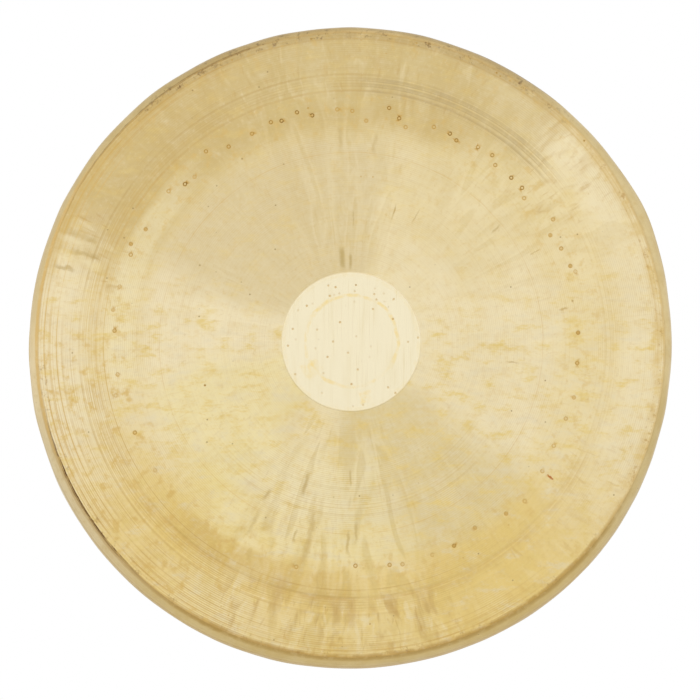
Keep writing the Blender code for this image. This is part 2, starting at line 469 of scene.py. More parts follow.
def pressMarks(mesh):
    stain = mesh.verts.layers.float.new("markStain")
    chance = random.Random(punches["seed"])
    rings, holes = {}, {}
    for part, (reach, cuts) in punches["cuts"].items():
        rings[part] = [clockPlace(*punch) for punch in punches[part]]
        holes[part] = [(clockPlace(*where), size / 1000, dark) for *where, size, dark in pits[part]]
        refine(mesh, rings[part] + [hole[0] for hole in holes[part]], reach, cuts)
    front = (zones.index("polishedCentre"), zones.index("turnedFace"))
    verts = [vert for vert in mesh.verts if vert.link_faces[0].material_index in front]
    tree = treeOf([(vert.co.x, 0, vert.co.z) for vert in verts])

    def press(place, ring, deep, dark, filled):
        # a ring with a faint halo; filled is how dark its middle is beside it
        for _, index, far in tree.find_range(place, ring * punches["reach"]):
            pressed = math.exp(-(((far - ring) / (ring * punches["width"])) ** 2))
            dish = math.exp(-((far / ring) ** 4))
            halo = punches["halo"] * math.exp(-((far / (ring * punches["haloWidth"])) ** 2))
            verts[index].co.y += deep * max(pressed, punches["dish"] * dish)
            seen = dark * max(pressed, filled * dish, halo)
            verts[index][stain] = max(verts[index][stain], seen)

    for place in rings["face"]:
        top = place.z > 0.15
        filled = chance.choice((0.15, 0.2, 0.3, 0.5) if top else (0.3, 0.5, 0.8))
        dark = chance.uniform(0.5, 1.0) if top else chance.uniform(0.45, 0.75)
        press(place, punches["faceRing"], punches["faceDepth"], dark, filled)
    for place in rings["centre"]:
        press(place, punches["centreRing"], punches["centreDepth"], chance.uniform(0.2, 0.5), 1.0)
    for place, size, dark in holes["face"] + holes["centre"]:
        for _, index, far in tree.find_range(place, size * pits["reach"]):
            hollow = math.exp(-((far / size) ** 2))
            verts[index].co.y += pits["depth"] * hollow
            verts[index][stain] = max(verts[index][stain], dark * hollow)
    for part in rings:
        print("marks pressed in the", part + ":", len(rings[part]), "punches,", len(holes[part]), "pits")


# Two holes for the cords, drilled square through the rim

cordHoles = {
    "diameter": 0.008,
    "angle": math.radians(22),
    "depth": 0.026,  # along the gong's axis, from the front of the polished centre
    "chamfer": 0.0004,
    "reach": 0.003,  # of the cutter, to each side of the sheet's middle
    "sides": 48,
}


def drillFor(side):
    # a cutter that opens out at both surfaces of the sheet, which leaves a small chamfer
    radius = cordHoles["diameter"] / 2
    half = plate["rimThickness"] / 2 - cordHoles["chamfer"]
    reach = cordHoles["reach"]
    line = [(0, -reach), (radius + reach - half, -reach), (radius, -half)]
    line += [(radius, half), (radius + reach - half, reach), (0, reach)]
    shape = bmesh.new()
    spun(shape, [(across, 0, along) for across, along in line], (0, 0, 1), cordHoles["sides"])
    bmesh.ops.remove_doubles(shape, verts=shape.verts[:], dist=1e-6)
    bmesh.ops.recalc_face_normals(shape, faces=shape.faces[:])
    angle = side * cordHoles["angle"]
    lean = plate["rimLean"]
    outwards = around(angle)
    acrossWall = outwards * math.cos(lean) - Vector((0, math.sin(lean), 0))
    wallMiddle = plate["rimRadius"] - (plate["rimDepth"] - cordHoles["depth"]) * math.tan(lean)
    wallMiddle -= plate["rimThickness"] / math.cos(lean) / 2
    place = outwards * (wallMiddle + rimSwell(angle)) + Vector((0, cordHoles["depth"], 0))
    turned = acrossWall.to_track_quat("Z", "Y").to_matrix().to_4x4()
    bmesh.ops.transform(shape, matrix=Matrix.Translation(gongCentre + place) @ turned, verts=shape.verts[:])
    return objectFrom("cordHoleDrill", shape)


def objectFrom(name, shape):
    mesh = bpy.data.meshes.new(name)
    shape.to_mesh(mesh)
    shape.free()
    made = bpy.data.objects.new(name, mesh)
    bpy.context.scene.collection.objects.link(made)
    return made


def drillHoles(gong):
    drills = [drillFor(side) for side in (-1, 1)]
    for drill in drills:
        cut = gong.modifiers.new("cordHole", "BOOLEAN")
        cut.operation = "DIFFERENCE"
        cut.solver = "EXACT"
        cut.object = drill
    bpy.context.view_layer.update()
    shown = gong.evaluated_get(bpy.context.evaluated_depsgraph_get())
    drilled = bpy.data.meshes.new_from_object(shown)
    gong.modifiers.clear()
    gong.data = drilled
    for drill in drills:
        bpy.data.objects.remove(drill, do_unlink=True)
    print("cord holes drilled")


# Node helpers


def addNode(tree, kind, inputs=None, **settings):
    node = tree.nodes.new(kind)
    for name, value in settings.items():
        setattr(node, name, value)
    for name, value in (inputs or {}).items():
        feed(tree, node.inputs[name], value)
    return node


def feed(tree, socket, value):
    if isinstance(value, bpy.types.NodeSocket):
        tree.links.new(value, socket)
    else:
        socket.default_value = value


def maths(tree, operation, first, second=0.5, third=0.5):
    inputs = {0: first, 1: second, 2: third}
    return addNode(tree, "ShaderNodeMath", inputs, operation=operation).outputs[0]


def times(tree, *factors):
    product = factors[0]
    for factor in factors[1:]:
        product = maths(tree, "MULTIPLY", product, factor)
    return product


def ramp(tree, value, low, high, toLow=0.0, toHigh=1.0):
    # eases from toLow to toHigh while the value goes from low to high
    inputs = {"Value": value, "From Min": low, "From Max": high, "To Min": toLow, "To Max": toHigh}
    return addNode(tree, "ShaderNodeMapRange", inputs, interpolation_type="SMOOTHSTEP").outputs[0]


def painted(colour):
    # a colour socket wants a fourth value
    return (*colour, 1.0) if isinstance(colour, tuple) else colour


def mixed(tree, share, first, second):
    inputs = {0: share, 6: painted(first), 7: painted(second)}
    return addNode(tree, "ShaderNodeMix", inputs, data_type="RGBA").outputs[2]


def shaded(tree, colour, value, shades, by=1.0):
    # a shade: the value where it starts, the value where it is full, its cover then and its colour
    for start, full, cover, tint in shades:
        colour = mixed(tree, times(tree, ramp(tree, value, start, full, 0.0, cover), by), colour, tint)
    return colour


def noiseOf(tree, vector, scale, detail=2.0, roughness=0.5, waver=0.0):
    inputs = {"Vector": vector, "Scale": scale, "Detail": detail, "Roughness": roughness}
    inputs["Distortion"] = waver
    return addNode(tree, "ShaderNodeTexNoise", inputs).outputs[0]


def patchesOf(tree, vector, pattern):
    # a pattern: noise scale, detail and roughness, then from where to where its patches ease in
    return ramp(tree, noiseOf(tree, vector, *pattern[:3]), *pattern[3:])


def vectorOf(tree, operation, first, second=(0, 0, 0), scale=1.0):
    node = addNode(tree, "ShaderNodeVectorMath", {0: first, 1: second, 3: scale}, operation=operation)
    return node.outputs["Value" if operation in ("LENGTH", "DOT_PRODUCT") else "Vector"]


def newGroup(name, inputs, outputs):
    # inputs: name and default, which is None for a vector
    group = bpy.data.node_groups.new(name, "ShaderNodeTree")
    for title, value in inputs.items():
        kind = "NodeSocketVector" if value is None else "NodeSocketFloat"
        socket = group.interface.new_socket(name=title, in_out="INPUT", socket_type=kind)
        if value is not None:
            socket.default_value = value
    for title, kind in outputs.items():
        group.interface.new_socket(name=title, in_out="OUTPUT", socket_type="NodeSocket" + kind)
    into = group.nodes.new("NodeGroupInput").outputs
    return group, into, group.nodes.new("NodeGroupOutput").inputs


def useGroup(tree, name, **inputs):
    node = tree.nodes.new("ShaderNodeGroup")
    node.node_tree = bpy.data.node_groups[name]
    for title, value in inputs.items():
        feed(tree, node.inputs[title], value)
    return node


def makePlaceGroup():
    # where a point lies on the gong: from its centre, which way, and how far before the crease moved
    outputs = {"Place": "Vector", "Direction": "Vector", "Radius": "Float"}
    group, _, out = newGroup("placeOnGong", {}, outputs)
    coords = addNode(group, "ShaderNodeTexCoord").outputs["Object"]
    inputs = {"Vector": coords, "Location": tuple(-gongCentre)}
    place = addNode(group, "ShaderNodeMapping", inputs, vector_type="POINT").outputs[0]
    flat = vectorOf(group, "MULTIPLY", place, (1, 0, 1))
    direction = vectorOf(group, "NORMALIZE", flat)
    reach = vectorOf(group, "LENGTH", flat)
    near = useGroup(group, "clockWindow", Direction=direction, **swells["creaseSide"]).outputs[0]
    stretch = maths(group, "MULTIPLY_ADD", near, swells["creaseMore"], swells["creaseOut"])
    share = ramp(group, reach, swells["creaseFrom"], creaseRadius() + swells["creaseOut"])
    feed(group, out["Place"], place)
    feed(group, out["Direction"], direction)
    feed(group, out["Radius"], maths(group, "SUBTRACT", reach, times(group, stretch, share)))


def makeClockGroup():
    # 1 within so many degrees of a clock angle, easing to 0 past that
    inputs = {"Direction": None, "Clock": 0.0, "Half": 30.0, "Soft": 20.0}
    group, into, out = newGroup("clockWindow", inputs, {"Mask": "Float"})
    clock = maths(group, "RADIANS", into["Clock"])
    inputs = {"X": maths(group, "SINE", clock), "Y": 0.0, "Z": maths(group, "COSINE", clock)}
    towards = addNode(group, "ShaderNodeCombineXYZ", inputs).outputs[0]
    gap = maths(group, "ARCCOSINE", vectorOf(group, "DOT_PRODUCT", into["Direction"], towards))
    gap = maths(group, "DEGREES", gap)
    end = maths(group, "ADD", into["Half"], into["Soft"])
    feed(group, out["Mask"], ramp(group, gap, end, into["Half"]))


def makeRingGroup():
    # 1 within so far of a radius, easing to 0 past that
    inputs = {"Radius": 0.0, "Middle": 0.3, "Half": 0.01, "Soft": 0.01}
    group, into, out = newGroup("ringWindow", inputs, {"Mask": "Float"})
    gap = maths(group, "ABSOLUTE", maths(group, "SUBTRACT", into["Radius"], into["Middle"]))
    end = maths(group, "ADD", into["Half"], into["Soft"])
    feed(group, out["Mask"], ramp(group, gap, end, into["Half"]))


def makeStreakGroup():
    # uneven streaks that fan out from the centre
    inputs = {"Direction": None, "Radius": 0.0, "Fan": 30.0, "Length": 0.05, "Waver": 0.4, "Turn": 0.0}
    group, into, out = newGroup("radialStreaks", inputs, {"Value": "Float"})
    along = maths(group, "ADD", maths(group, "DIVIDE", into["Radius"], into["Length"]), into["Turn"])
    up = addNode(group, "ShaderNodeCombineXYZ", {"X": 0.0, "Y": along}).outputs[0]
    fanned = vectorOf(group, "SCALE", into["Direction"], scale=into["Fan"])
    spread = vectorOf(group, "ADD", fanned, up)
    feed(group, out["Value"], noiseOf(group, spread, 1.0, 2.0, 0.45, into["Waver"]))


# Softly eased shapes of the folds' painted highlight and painted shade: from which value to which
foldShape = {"grow": (0.25, 0.75), "end": (1.0, 0.55), "dark": (0.4, 0.0)}


def makeFoldGroup():
    # the painted highlight and painted shade of one soft shallow fold beside another: it grows slowly and
    # ends at a wavy edge
    inputs = {"Streaks": 0.5, "Folds": 4.0}
    group, into, out = newGroup("foldSheenAndShade", inputs, {"Sheen": "Float", "Shade": "Float"})
    share = maths(group, "FRACT", times(group, into["Streaks"], into["Folds"]))
    end = ramp(group, share, *foldShape["end"])
    feed(group, out["Sheen"], times(group, ramp(group, share, *foldShape["grow"]), end))
    feed(group, out["Shade"], ramp(group, times(group, share, end), *foldShape["dark"]))


lathe = {
    "driftScale": 5.0,
    "drift": 0.0016,  # how far the rings wander, in metres
    "patchEdges": (0.38, 0.62),
    "ringNoise": {"Scale": 0.8, "Detail": 3.0, "Roughness": 0.7},
    "ringEdges": (0.46, 0.64),
    "breaks": (26, 3, 0.5, 0.3, 0.58, 0.25, 1.0),
}


def makeLatheGroup():
    # rings left by the turning tool, fainter in some places than in others
    inputs = {"Place": None, "Radius": 0.0, "Pitch": 0.0024, "Patches": 9.0}
    group, into, out = newGroup("turningLines", inputs, {"Line": "Float", "Thin": "Float"})
    warp = noiseOf(group, into["Place"], lathe["driftScale"], 1.0)
    drift = maths(group, "MULTIPLY_ADD", warp, lathe["drift"], into["Radius"])
    count = maths(group, "DIVIDE", drift, into["Pitch"])
    wave = maths(group, "SINE", times(group, count, 2 * math.pi))
    patches = ramp(group, noiseOf(group, into["Place"], into["Patches"]), *lathe["patchEdges"])
    feed(group, out["Line"], times(group, wave, patches))
    inputs = {"W": count, **lathe["ringNoise"]}
    rings = addNode(group, "ShaderNodeTexNoise", inputs, noise_dimensions="1D").outputs[0]
    broken = patchesOf(group, into["Place"], lathe["breaks"])
    feed(group, out["Thin"], times(group, ramp(group, rings, *lathe["ringEdges"]), broken))


def makeWarpGroup():
    # a direction and a radius pushed about, so that the edge of a stain wanders
    inputs = {"Place": None, "Direction": None, "Radius": 0.0}
    inputs |= {"Scale": 14.0, "Sideways": 0.25, "Outwards": 0.02}
    group, into, out = newGroup("wander", inputs, {"Direction": "Vector", "Radius": "Float"})
    inputs = {"Vector": into["Place"], "Scale": into["Scale"], "Detail": 3.0, "Roughness": 0.55}
    cloud = addNode(group, "ShaderNodeTexNoise", inputs).outputs
    centred = vectorOf(group, "SUBTRACT", cloud["Color"], (0.5, 0.5, 0.5))
    pushed = vectorOf(group, "SCALE", centred, scale=into["Sideways"])
    turned = vectorOf(group, "ADD", into["Direction"], pushed)
    feed(group, out["Direction"], vectorOf(group, "NORMALIZE", turned))
    swing = maths(group, "SUBTRACT", cloud[0], 0.5)
    feed(group, out["Radius"], maths(group, "MULTIPLY_ADD", swing, into["Outwards"], into["Radius"]))


def makeGroups():
    makeClockGroup()
    makePlaceGroup()
    makeRingGroup()
    makeStreakGroup()
    makeFoldGroup()
    makeLatheGroup()
    makeWarpGroup()
    print("node groups made:", len(bpy.data.node_groups))


def newMaterial(name, roughness, metallic=1.0):
    material = bpy.data.materials.new(name)
    material.use_nodes = True
    shader = material.node_tree.nodes["Principled BSDF"]
    shader.inputs["Metallic"].default_value = metallic
    shader.inputs["Roughness"].default_value = roughness
    return material, material.node_tree, shader


def stainMask(tree, place, clock, half, soft, middle, width, fade):
    inputs = {"Clock": clock, "Half": half, "Soft": soft}
    turned = useGroup(tree, "clockWindow", Direction=place[0], **inputs).outputs[0]
    inputs = {"Middle": middle / 1000, "Half": width / 1000, "Soft": fade / 1000}
    ringed = useGroup(tree, "ringWindow", Radius=place[1], **inputs).outputs[0]
    return times(tree, turned, ringed)


# The turned face. A spot: clock angle, half width and softness in degrees, then radius, half
# width and softness in millimetres, then how far it covers and its colour.

faceFinish = {
    "bronze": (0.81, 0.67, 0.375),
    "pale": (0.875, 0.745, 0.455),
    "clouds": (16, 5, 0.62, 0.32, 0.68),
    "tintNoise": (24, 4, 0.62),
    "tints": ((0.5, 0.7, 0.5, (0.825, 0.66, 0.3)), (0.48, 0.3, 0.35, (0.78, 0.68, 0.43))),
    "tarnishScales": (30, 46, 66),
    "tarnishNoise": (1, 5, 0.66),
    "tarnishHeight": (0.5, 0.0, 0.35, 1.0),  # less of it towards the top
    "tarnish": ((0.48, 0.72, 1.0, (0.81, 0.62, 0.23)), (0.5, 0.28, 0.6, (0.8, 0.705, 0.49))),
    "tightWander": {"Scale": 30.0, "Sideways": 0.014, "Outwards": 0.004},
    "raggedWander": {"Scale": 75.0, "Sideways": 0.035, "Outwards": 0.012},
    "roughness": 0.33,
    "linePitch": 0.0024,
    # spots of colour; among them painted light of the turned rings: the pale ones at 88 and 266 degrees are
    # painted reflection, the darker ones at the top (331, 340 and 12 degrees) and bottom (158 and 184
    # degrees) painted shade
    "stainsAndShading": (
        (88, 50, 40, 200, 170, 60, 0.62, (0.9, 0.78, 0.51)),
        (266, 26, 28, 200, 170, 60, 0.75, (0.91, 0.79, 0.53)),
        (331, 32, 18, 200, 100, 90, 0.85, (0.735, 0.6, 0.34)),
        (158, 20, 18, 170, 120, 80, 0.8, (0.74, 0.6, 0.305)),
        (0, 180, 1, 300, 25, 30, 0.35, (0.8, 0.63, 0.27)),
        (42, 16, 14, 230, 60, 40, 0.45, (0.75, 0.6, 0.29)),
        (340, 40, 20, 335, 45, 35, 0.9, (0.64, 0.48, 0.205)),
        (12, 28, 8, 350, 35, 35, 0.72, (0.67, 0.525, 0.25)),
        (184, 40, 34, 352, 52, 30, 0.88, (0.813, 0.597, 0.195)),
        (212, 14, 12, 368, 16, 20, 0.5, (0.87, 0.69, 0.34)),
        (200, 26, 16, 262, 22, 20, 0.55, (0.87, 0.68, 0.26)),
        (202, 18, 10, 305, 13, 7, 0.8, (0.7, 0.49, 0.15)),
        (286, 20, 16, 290, 10, 12, 0.5, (0.93, 0.82, 0.51)),
        (195, 20, 16, 215, 50, 40, 0.38, (0.94, 0.83, 0.485)),
        (240, 14, 14, 160, 70, 50, 0.4, (0.86, 0.725, 0.29)),
        (178, 16, 12, 292, 12, 10, 0.4, (0.83, 0.61, 0.235)),
    ),
    # shown only where the folds or the wisps are
    "foldZones": (
        (186, 18, 14, 260, 130, 40, 1.0),
        (358, 16, 14, 240, 100, 60, 0.6),
        (50, 18, 12, 290, 80, 50, 0.6),
        (335, 22, 14, 360, 20, 20, 0.3),
    ),
    "foldLeast": 0.22,
    "foldStreaks": {"Fan": 9.0, "Length": 0.13, "Waver": 0.9},
    "foldCount": 3.0,
    # the folds' painted highlight and painted shade: which, how far it covers and its colour
    "folds": (("Sheen", 0.32, (0.93, 0.815, 0.53)), ("Shade", 0.36, (0.68, 0.525, 0.24))),
    "wispZones": (
        (184, 20, 12, 356, 20, 32, 1.05),
        (0, 26, 12, 350, 35, 20, 0.5),
        (289, 4, 5, 345, 45, 20, 0.8),
        (50, 8, 8, 330, 60, 40, 0.6),
        (200, 14, 10, 240, 80, 40, 0.4),
        (128, 14, 10, 345, 30, 20, 0.5),
        (255, 14, 10, 330, 20, 20, 0.4),
    ),
    "wispLeast": 0.22,
    "ovalStreaks": {"Fan": 27.0, "Length": 0.034, "Waver": 0.6, "Turn": 5.0},
    # painted shade in the hammer's ovals and painted highlight between them
    "ovalShades": ((0.49, 0.78, 0.74, (0.59, 0.39, 0.14)),),
    "ovalHighlights": ((0.44, 0.3, 0.4, (0.93, 0.815, 0.53)),),
    "wispStreaks": {"Fan": 66.0, "Length": 0.02, "Waver": 0.5, "Turn": 7.0},
    "wispShape": (0.58, 0.8),
    "wispCover": 0.55,
    "wispTint": (0.56, 0.34, 0.095),
    "hairStreaks": {"Fan": 110.0, "Length": 0.3, "Waver": 0.1, "Turn": 3.0},
    "hairs": ((0.66, 0.76, 0.1, (0.66, 0.455, 0.16)),),
    "lineTint": (0.56, 0.365, 0.12),
    "lineDepth": (0.16, 0.33, 0.13, 0.22),  # radius from and to, how strong from and to
    # shown only on the lines of the turning tool
    "lined": (
        (205, 48, 22, 381, 9, 8, 0.5, (0.58, 0.335, 0.08)),
        (305, 24, 16, 383, 6, 8, 0.6, (0.6, 0.36, 0.09)),
        (20, 60, 24, 384, 4, 6, 0.35, (0.58, 0.335, 0.08)),
        (272, 26, 18, 378, 11, 5, 0.36, (0.77, 0.5, 0.14)),
        (26, 18, 8, 326, 11, 4, 0.65, (0.45, 0.335, 0.165)),
        (322, 36, 10, 332, 14, 6, 0.5, (0.54, 0.36, 0.13)),
        (216, 40, 26, 322, 14, 6, 0.5, (0.56, 0.34, 0.09)),
        (280, 26, 20, 320, 12, 8, 0.36, (0.74, 0.49, 0.15)),
        (235, 26, 20, 355, 24, 10, 0.4, (0.58, 0.36, 0.1)),
        (90, 50, 30, 322, 8, 6, 0.2, (0.62, 0.41, 0.13)),
        (176, 36, 24, 197, 18, 10, 0.16, (0.61, 0.4, 0.12)),
        (0, 180, 1, 240, 130, 20, 0.07, (0.56, 0.36, 0.11)),
    ),
    # painted highlights on the ridges between the tool's lines
    "ridgeHighlights": (
        (232, 24, 16, 350, 30, 20, 0.36, (0.95, 0.85, 0.56)),
        (178, 30, 20, 372, 14, 12, 0.3, (0.95, 0.84, 0.52)),
        (178, 34, 24, 195, 30, 20, 0.24, (0.96, 0.88, 0.64)),
    ),
    "smudges": (
        (0, 36, 14, 387.5, 2.2, 4, 0.9, (0.24, 0.135, 0.055)),
        (240, 22, 14, 385.5, 2.5, 4, 0.6, (0.32, 0.18, 0.06)),
        (86, 28, 14, 385, 3, 4, 0.55, (0.48, 0.27, 0.08)),
        (166, 30, 16, 387, 2, 4, 0.6, (0.36, 0.2, 0.06)),
    ),
    # painted shade all round the crease
    "creaseRing": {"Half": 0.0004, "Soft": 0.0022},
    "creaseCover": 0.4,
    "creaseShadeTint": (0.54, 0.32, 0.08),
    # thin rings, fainter in places
    "breaks": (34, 3, 0.5, 0.35, 0.6, 0.15, 1.0),
    "ringLines": (
        (26, 18, 10, 333.5, 1.6, 2.4, 0.36, (0.48, 0.37, 0.2)),
        (26, 18, 10, 326.2, 1.2, 2.4, 0.32, (0.48, 0.37, 0.2)),
        (26, 18, 10, 319.5, 0.8, 2.4, 0.32, (0.48, 0.37, 0.2)),
        (80, 38, 16, 386.2, 2, 10, 0.55, (0.7, 0.5, 0.19)),
        (222, 40, 30, 321.2, 0.4, 2.2, 0.3, (0.6, 0.36, 0.1)),
        (150, 30, 20, 321.2, 0.3, 2, 0.3, (0.62, 0.39, 0.12)),
        (140, 22, 14, 325.8, 0.3, 2, 0.24, (0.64, 0.41, 0.14)),
        (330, 50, 20, 319.5, 0.1, 1.3, 0.25, (0.6, 0.38, 0.12)),
        (0, 180, 1, 239.5, 0.1, 1.2, 0.25, (0.68, 0.43, 0.13)),
    ),
    "creaseBreaks": (0.15, 0.6, 0.45, 1.0),
    # painted shadow along the crease, in broken patches: black at the lower left, brown below, darker at
    # the top and top left
    "creaseShadows": (
        (239, 6, 16, 389.2, 0.4, 0.7, 0.95, (0.085, 0.03, 0.012)),
        (318, 20, 8, 389.5, 0.2, 0.8, 0.65, (0.24, 0.12, 0.04)),
        (168, 36, 16, 389, 0.9, 2.8, 0.66, (0.45, 0.27, 0.07)),
        (304, 16, 10, 385, 4, 4, 0.55, (0.66, 0.46, 0.16)),
        (0, 34, 14, 387, 2, 8, 0.4, (0.47, 0.325, 0.135)),
    ),
    # strokes and small stains, with ragged edges
    "ragged": (
        (124.5, 0.15, 0.25, 298.7, 3.2, 2.5, 0.95, (0.5, 0.16, 0.03)),
        (81.2, 0.05, 0.3, 268.7, 1, 9, 0.6, (0.5, 0.31, 0.09)),
        (63.9, 0.05, 0.3, 257, 2, 9, 0.5, (0.52, 0.34, 0.11)),
        (97.3, 0.05, 0.5, 203.2, 1, 9, 0.6, (0.48, 0.29, 0.08)),
        (196.0, 0.6, 1.3, 326, 12, 18, 0.42, (0.62, 0.42, 0.16)),
        (79.4, 0.1, 0.4, 280.7, 0.2, 2.2, 0.7, (0.4, 0.22, 0.06)),
        (180.0, 0.4, 1.0, 338, 9, 12, 0.5, (0.6, 0.4, 0.15)),
        (183.0, 0.4, 0.9, 337, 8, 12, 0.5, (0.6, 0.4, 0.15)),
        (18.2, 0.05, 0.4, 172.2, 4, 10, 0.65, (0.48, 0.32, 0.11)),
        (27.2, 0.05, 0.4, 177, 4, 10, 0.45, (0.52, 0.36, 0.14)),
        (1.0, 0.05, 0.5, 156, 4, 10, 0.5, (0.52, 0.37, 0.15)),
        (6.8, 0.1, 0.9, 252, 6, 14, 0.45, (0.6, 0.44, 0.19)),
        (357.0, 0.1, 0.8, 260, 6, 12, 0.5, (0.6, 0.44, 0.19)),
        (354.0, 0.3, 2.6, 105, 6, 12, 0.7, (0.5, 0.36, 0.125)),
        (359.6, 0.1, 1.4, 102, 4, 10, 0.6, (0.48, 0.34, 0.12)),
        (197.7, 0.1, 1.1, 187, 6, 12, 0.55, (0.48, 0.32, 0.09)),
        (208.7, 0.1, 0.8, 218, 3, 10, 0.55, (0.52, 0.35, 0.11)),
        (208.2, 0.1, 0.8, 259, 8, 14, 0.35, (0.54, 0.37, 0.12)),
        (192.0, 0.1, 1.2, 250, 20, 20, 0.5, (0.56, 0.385, 0.13)),
        (196.1, 0.1, 0.5, 252, 4, 8, 0.5, (0.54, 0.37, 0.12)),
        (180.3, 0.1, 0.7, 170, 4, 8, 0.5, (0.54, 0.37, 0.12)),
        (181.0, 0.1, 0.6, 249.5, 8, 10, 0.55, (0.54, 0.37, 0.12)),
        (178.4, 0.1, 0.6, 237, 6, 10, 0.45, (0.54, 0.37, 0.12)),
        (288.2, 0.1, 0.7, 350, 10, 14, 0.5, (0.5, 0.35, 0.125)),
        (284.5, 0.1, 0.5, 370, 6, 10, 0.55, (0.5, 0.35, 0.125)),
        (291.5, 0.1, 1.0, 360, 12, 12, 0.4, (0.56, 0.41, 0.16)),
        (286.4, 0.2, 1.2, 355, 20, 16, 0.45, (0.9, 0.78, 0.48)),
        (290.0, 0.2, 1.0, 365, 12, 14, 0.4, (0.9, 0.78, 0.48)),
        (52.0, 0.05, 0.4, 229, 2, 12, 0.5, (0.5, 0.35, 0.13)),
        (172.5, 0.3, 0.8, 383, 5, 8, 0.5, (0.58, 0.38, 0.14)),
    ),
    # where rust-coloured clouds lie
    "rustZones": (
        (0, 180, 1, 292, 18, 20, 0.6),
        (0, 180, 1, 382, 6, 20, 0.5),
        (238, 26, 18, 335, 45, 30, 1.0),
    ),
    "rustPatches": (70, 4, 0.6, 0.5, 0.7),
    "rustLeast": 0.25,
    "rustCover": 0.8,
    "rust": (0.71, 0.48, 0.15),
    "mottleNoise": (170, 3, 0.7),
    "mottling": ((0.52, 0.8, 0.3, (0.62, 0.43, 0.15)), (0.48, 0.25, 0.2, (0.86, 0.76, 0.52))),
    "specks": (95, 0.045, (0.33, 0.21, 0.08)),  # scale, size and colour
    "heights": {"lines": 1.4e-5, "thin": 2e-5, "folds": 2e-4, "mottling": 2e-5},  # in metres
    "markRust": (0.6, 0.36, 0.09),
    "markDark": (0.11, 0.062, 0.025),
}


def coloured(tree, colour, spots, place, by=1.0):
    # lays each spot over the colour; by holds the shape that it shows through
    for *window, cover, tint in spots:
        colour = mixed(tree, times(tree, stainMask(tree, place, *window), cover, by), colour, tint)
    return colour


def strongest(tree, windows, place, least):
    # how strong something is at a place: the most that any of the windows gives it there
    strength = least
    for *window, most in windows:
        strength = maths(tree, "MAXIMUM", strength, times(tree, stainMask(tree, place, *window), most))
    return strength


def bumped(tree, shader, heights):
    # heights: what varies from 0 to 1, and how high it stands in metres
    total = 0.0
    for value, height in heights:
        total = maths(tree, "MULTIPLY_ADD", value, height, total)
    bump = addNode(tree, "ShaderNodeBump", {"Height": total, "Distance": 1.0, "Strength": 1.0})
    feed(tree, shader.inputs["Normal"], bump.outputs[0])


